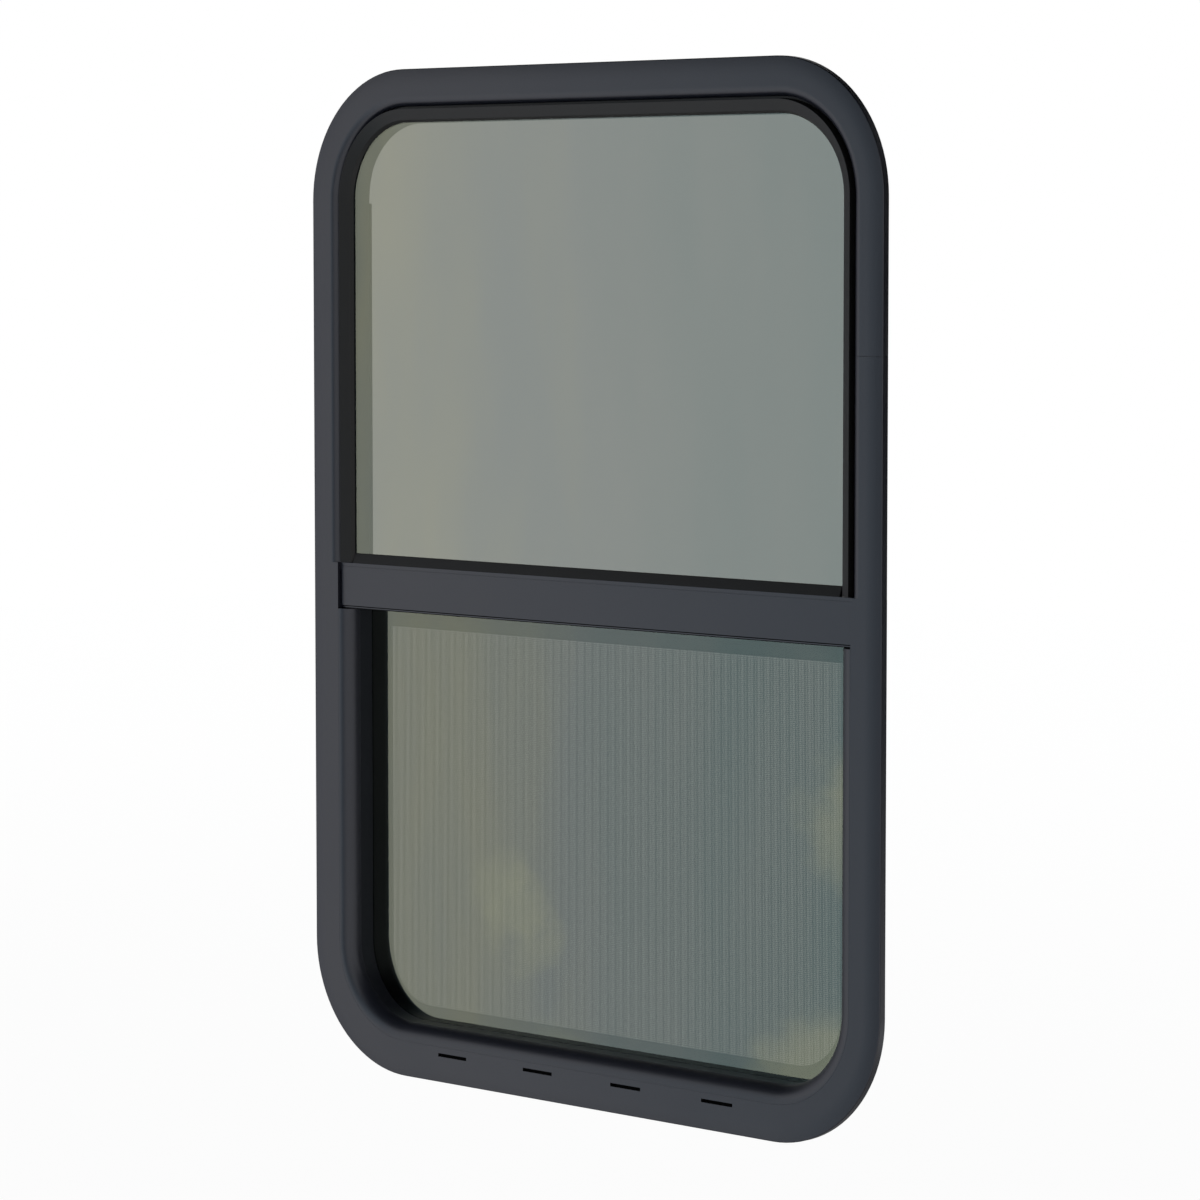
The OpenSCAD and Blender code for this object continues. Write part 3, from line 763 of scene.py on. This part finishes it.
stood = add(pile_tree, "GeometryNodeInstanceOnPoints",
            {"Points": roots.outputs["Points"], "Instance": fibre.outputs["Mesh"],
             "Rotation": lean.outputs["Value"]})
end_tree(pile_tree, stood.outputs["Instances"], given["Finish"])
pile = run_tree("brush_pile_fibres", bpy.data.meshes.new("empty"), pile_tree,
                {"Length": 0.4844, "Finish": brush_pile, "Fibres": 900000.0})
pile_low, pile_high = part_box("rail_pile")
pile_middle = (pile_low + pile_high) / 2
pile_back = Vector((pile_middle.x, pile_high.y - 0.0002, pile_middle.z))
pile.data.transform(Matrix.Translation(pile_back) @ Matrix.Rotation(math.radians(-90), 4, "X"))
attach(pile, "root")
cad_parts["rail_pile"].data.materials.clear()
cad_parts["rail_pile"].data.materials.append(brush_pile)
print("Pile has", len(pile.data.polygons), "faces")

# %% [markdown]
# ## Screws
# Small pan-head screws hold the latches and the screen's tracks. One head is built in the
# tree: a flattened ball with a cross recess taken out of it. Then it is put on each place,
# with its face towards the caravan's inside.

# %% Screw tree
screw_tree, given = start_tree("Pan-head screws", [
    ("Head radius", "Float", 0.0024), ("Head height", "Float", 0.0013), ("Recess", "Float", 0.0005),
    ("Finish", "Material", None)])
ball = add(screw_tree, "GeometryNodeMeshUVSphere", {"Segments": 28, "Rings": 14, "Radius": 1.0})
head_size = add(screw_tree, "ShaderNodeCombineXYZ",
                {"X": given["Head radius"], "Y": given["Head height"], "Z": given["Head radius"]})
head = add(screw_tree, "GeometryNodeTransform",
           {"Geometry": ball.outputs["Mesh"], "Scale": head_size.outputs[0]})
recess_parts = add(screw_tree, "GeometryNodeJoinGeometry")
for turn in (0.3, 0.3 + math.pi / 2):
    arm = add(screw_tree, "GeometryNodeMeshCube", {"Size": (0.0026, 0.0016, 0.0005)})
    turned = add(screw_tree, "GeometryNodeTransform",
                 {"Geometry": arm.outputs["Mesh"], "Translation": (0.0, 0.0014, 0.0),
                  "Rotation": (0.0, turn, 0.0)})
    screw_tree.links.new(turned.outputs["Geometry"], recess_parts.inputs["Geometry"])
crossed = add(screw_tree, "GeometryNodeMeshBoolean", {"Mesh 1": head.outputs["Geometry"]},
              operation="DIFFERENCE")
screw_tree.links.new(recess_parts.outputs["Geometry"], crossed.inputs["Mesh 2"])
fixed = add(screw_tree, "GeometryNodeInstanceOnPoints",
            {"Points": given["Geometry"], "Instance": crossed.outputs["Mesh"]})
end_tree(screw_tree, fixed.outputs["Instances"], given["Finish"])


def screws(name, places):
    """Screws with their heads towards +Y, at places in row metres."""
    base = bpy.data.meshes.new("places")
    base.from_pydata(places, [], [])
    obj = run_tree(name, base, screw_tree, {"Finish": screw_steel})
    obj.data.shade_smooth()
    obj.data.set_sharp_from_angle(angle=math.radians(35))
    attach(obj, "root")
    return obj


latch_screws, track_screws = [], []
for side, sign in (("left", -1), ("right", 1)):
    low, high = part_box(f"sash_latch_{side}")
    back, middle_z = high.y - 0.0016, low.z + 0.0038
    inner = (HALF_W - SIGHT_IN) * MM
    latch_screws += [(sign * (inner - 0.0465), back, middle_z), (sign * (inner - 0.0115), back, middle_z)]
    low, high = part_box(f"screen_track_{side}")
    for part in (0.12, 0.5, 0.88):
        track_screws.append((sign * (HALF_W - 37.0) * MM, high.y, low.z + part * (high.z - low.z)))
screws("latch_screws", latch_screws)
screws("screen_track_screws", track_screws)
print("Screws:", len(latch_screws) + len(track_screws))

# %% [markdown]
# ## Studio
# The photo has a plain white ground. The world and the floor show white to the camera, to
# mirrors and through glass, and a plain grey level to everything else, so the object isn't
# lit more than it should be. Black paint needs something to mirror: a large soft card stands
# to the left and front, where the flange and the glass mirror it into the camera, and black
# flags at the right and above keep those sides dark, which draws the curved edges. The right
# flag ends low down, so that the window's back still has something grey to mirror.

# %% World and floor
world = bpy.data.worlds.new("studio")
scene.world = world
world.use_nodes = True
sky = world.node_tree
sky.nodes.clear()


def seen_directly(tree):
    """1 for what the camera sees, straight, in a mirror or through glass."""
    ray = add(tree, "ShaderNodeLightPath").outputs
    mirrored = add(tree, "ShaderNodeMath", {0: ray["Is Camera Ray"], 1: ray["Is Glossy Ray"]},
                   operation="MAXIMUM")
    return add(tree, "ShaderNodeMath", {0: mirrored.outputs[0], 1: ray["Is Transmission Ray"]},
               operation="MAXIMUM").outputs[0]


plain = add(sky, "ShaderNodeBackground", {"Color": linear("#e6e8ea"), "Strength": 0.85})
white = add(sky, "ShaderNodeBackground", {"Color": (1.0, 1.0, 1.0, 1.0), "Strength": 1.0})
sky_mix = add(sky, "ShaderNodeMixShader", {0: seen_directly(sky), 1: plain.outputs[0], 2: white.outputs[0]})
add(sky, "ShaderNodeOutputWorld", {"Surface": sky_mix.outputs[0]})

FLOOR_Z = -0.32
floor_material, floor_tree, floor_shader, _ = start_material(
    "pale_floor", **{"Base Color": linear("#e9e9e9"), "Roughness": 0.9})
glow = add(floor_tree, "ShaderNodeEmission", {"Color": (1.0, 1.0, 1.0, 1.0), "Strength": 1.03})
share = add(floor_tree, "ShaderNodeMath", {0: seen_directly(floor_tree), 1: 0.93}, operation="MULTIPLY")
floor_mix = add(floor_tree, "ShaderNodeMixShader",
                {0: share.outputs[0], 1: floor_shader.outputs[0], 2: glow.outputs[0]})
output = next(n for n in floor_tree.nodes if n.type == "OUTPUT_MATERIAL")
floor_tree.links.new(floor_mix.outputs[0], output.inputs["Surface"])


def card(name, centre, right, up, width, height, material, seen=False, lights=True):
    """A flat card whose own x runs along right and whose own y runs along up."""
    mesh = bpy.data.meshes.new(name)
    w, h = width / 2, height / 2
    mesh.from_pydata([(-w, -h, 0), (w, -h, 0), (w, h, 0), (-w, h, 0)], [], [(0, 1, 2, 3)])
    mesh.materials.append(material)
    obj = make(name, mesh)
    right, up = Vector(right).normalized(), Vector(up).normalized()
    axes = Matrix((right, up, right.cross(up))).transposed().to_4x4()
    obj.matrix_world = Matrix.Translation(centre) @ axes
    obj.visible_camera = seen
    obj.visible_transmission = seen
    obj.visible_diffuse = obj.visible_shadow = lights
    obj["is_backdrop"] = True
    return obj


floor = card("floor", (0, 0, FLOOR_Z), (1, 0, 0), (0, 1, 0), 14.0, 14.0, floor_material, seen=True)
# the panes mirror the ground as plain white, without the line where floor and cards meet
floor.visible_glossy = False
print("Floor is", round(-FLOOR_Z, 2), "m below the window")

# %% [markdown]
# The card's light isn't even. Where the glass mirrors it, the photo goes from a warm olive at
# the left to a cool grey at the right, with soft upright streaks and a few sandy patches low
# down, so the card has those in its own light. Towards its right end the light falls away,
# and that is what shades the flange's crowned outer edge on the right jamb. It falls away
# above too, so that the crown along the top stays a little darker than the face below it.

# %% Reflector card
CARD_CENTRE, CARD_RIGHT = (-1.514, -1.5965, 0.2229), (0.7256, -0.6881, 0.0)
card_material = bpy.data.materials.new("reflector_cloth")
card_material.use_nodes = True
tree = card_material.node_tree
tree.nodes.clear()
spot = add(tree, "ShaderNodeTexCoord").outputs["Object"]
axes = add(tree, "ShaderNodeSeparateXYZ", {"Vector": spot}).outputs


def ranged(value, into, low, high, **settings):
    """Maps a range of a value onto a new one, on the card's tree."""
    sockets = {"Value": value, "From Min": into[0], "From Max": into[1], "To Min": low, "To Max": high}
    return add(tree, "ShaderNodeMapRange", sockets, **settings).outputs[0]


def combined(one, two, operation):
    return add(tree, "ShaderNodeMath", {0: one, 1: two}, operation=operation).outputs[0]


stretched = add(tree, "ShaderNodeMapping", {"Vector": spot, "Scale": (9.0, 1.6, 1.0)})
wander = add(tree, "ShaderNodeTexNoise", {"Vector": stretched.outputs[0], "Scale": 1.0, "Detail": 3.0})
sideways = ranged(axes["X"], (-0.62, 0.34), 0.0, 1.0)
shifted = combined(sideways, ranged(wander.outputs["Fac"], (0.0, 1.0), -0.26, 0.26), "ADD")
tone = add(tree, "ShaderNodeValToRGB", {"Fac": shifted})
stops = tone.color_ramp.elements
stops[0].position, stops[0].color = 0.07, (0.7, 0.72, 0.8, 1)
stops[1].position, stops[1].color = 1.0, (0.56, 0.73, 0.84, 1)
for position, colour in ((0.25, (0.95, 0.92, 0.88, 1)), (0.36, (1.2, 1.09, 0.92, 1)),
                         (0.62, (0.87, 0.89, 0.98, 1))):
    stops.new(position).color = colour
light = tone.outputs["Color"]
# sandy patches, each a soft blot with a ragged edge: place on the card in metres, size, share
SAND = (1.45, 1.34, 1.06, 1)
PATCHES = (
    (-0.135, -0.37, 0.05, 0.4), (-0.105, -0.41, 0.055, 0.55), (-0.075, -0.45, 0.05, 0.4),
    (0.34, -0.285, 0.11, 0.8), (-0.058, -0.583, 0.06, 0.3), (0.28, -0.6, 0.11, 0.7),
)
ragged = add(tree, "ShaderNodeTexNoise", {"Vector": spot, "Scale": 12.0, "Detail": 3.0})
for px, py, size, strength in PATCHES:
    off = add(tree, "ShaderNodeVectorMath", {0: spot, 1: (px, py, 0.0)}, operation="DISTANCE")
    reach = combined(off.outputs["Value"], ranged(ragged.outputs["Fac"], (0.0, 1.0), -0.06, 0.06), "ADD")
    fade = ranged(reach, (0.3 * size, size), strength, 0.0, interpolation_type="SMOOTHSTEP")
    light = add(tree, "ShaderNodeMix", {0: fade, 6: light, 7: SAND}, data_type="RGBA").outputs[2]
right_fall = ranged(axes["X"], (0.32, 1.4), 1.0, 0.1, interpolation_type="SMOOTHSTEP")
left_fall = ranged(axes["X"], (-1.2, -0.3), 0.6, 1.0)
high_fall = ranged(axes["Y"], (0.9, 1.5), 1.0, 0.12, interpolation_type="SMOOTHSTEP")
falls = combined(combined(right_fall, left_fall, "MULTIPLY"), high_fall, "MULTIPLY")
CARD_POWER = 1.45
lit = add(tree, "ShaderNodeEmission", {"Color": light, "Strength": combined(falls, CARD_POWER, "MULTIPLY")})
add(tree, "ShaderNodeOutputMaterial", {"Surface": lit.outputs[0]})
card("reflector", CARD_CENTRE, CARD_RIGHT, (0, 0, 1), 3.4, 3.0, card_material)

# %% [markdown]
# Black velvet flags keep the right side and the top dark. Of two grey cloths, one lies below
# the window and one stands behind it at the left, where its foot and its back would otherwise
# mirror plain white. They are only mirrored: they light and shade nothing.

# %% Flags and grey cloths
VELVET = {"Base Color": linear("#050505"), "Roughness": 1.0}
flag_material, _, _, _ = start_material("black_velvet", **VELVET, **{"Specular IOR Level": 0.0})
card("flag_right", (1.2, 1.2, 1.05), (0, 1, 0), (0, 0, 1), 3.0, 2.2, flag_material)
card("flag_above", (-0.6, -0.4, 2.1), (1, 0, 0), (0, 1, 0), 7.0, 6.0, flag_material)
GREY_GLOW = {"Emission Color": linear("#ffffff"), "Emission Strength": 0.3}
grey_material, _, _, _ = start_material("grey_cloth", **VELVET, **GREY_GLOW)
card("grey_below", (-0.7, 0.27, -0.3), (1, 0, 0), (0, 1, 0), 2.8, 1.2, grey_material, lights=False)
card("grey_left", (-2.9, 1.4, 0.95), (0, 1, 0), (0, 0, 1), 3.6, 2.5, grey_material, lights=False)

# %% [markdown]
# ## Plain light, sizes and the end
# View settings stay plain, so that colours come out as written. The box of the finished model
# is measured, without the backdrop.

scene.view_settings.view_transform = "Standard"
low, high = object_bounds()
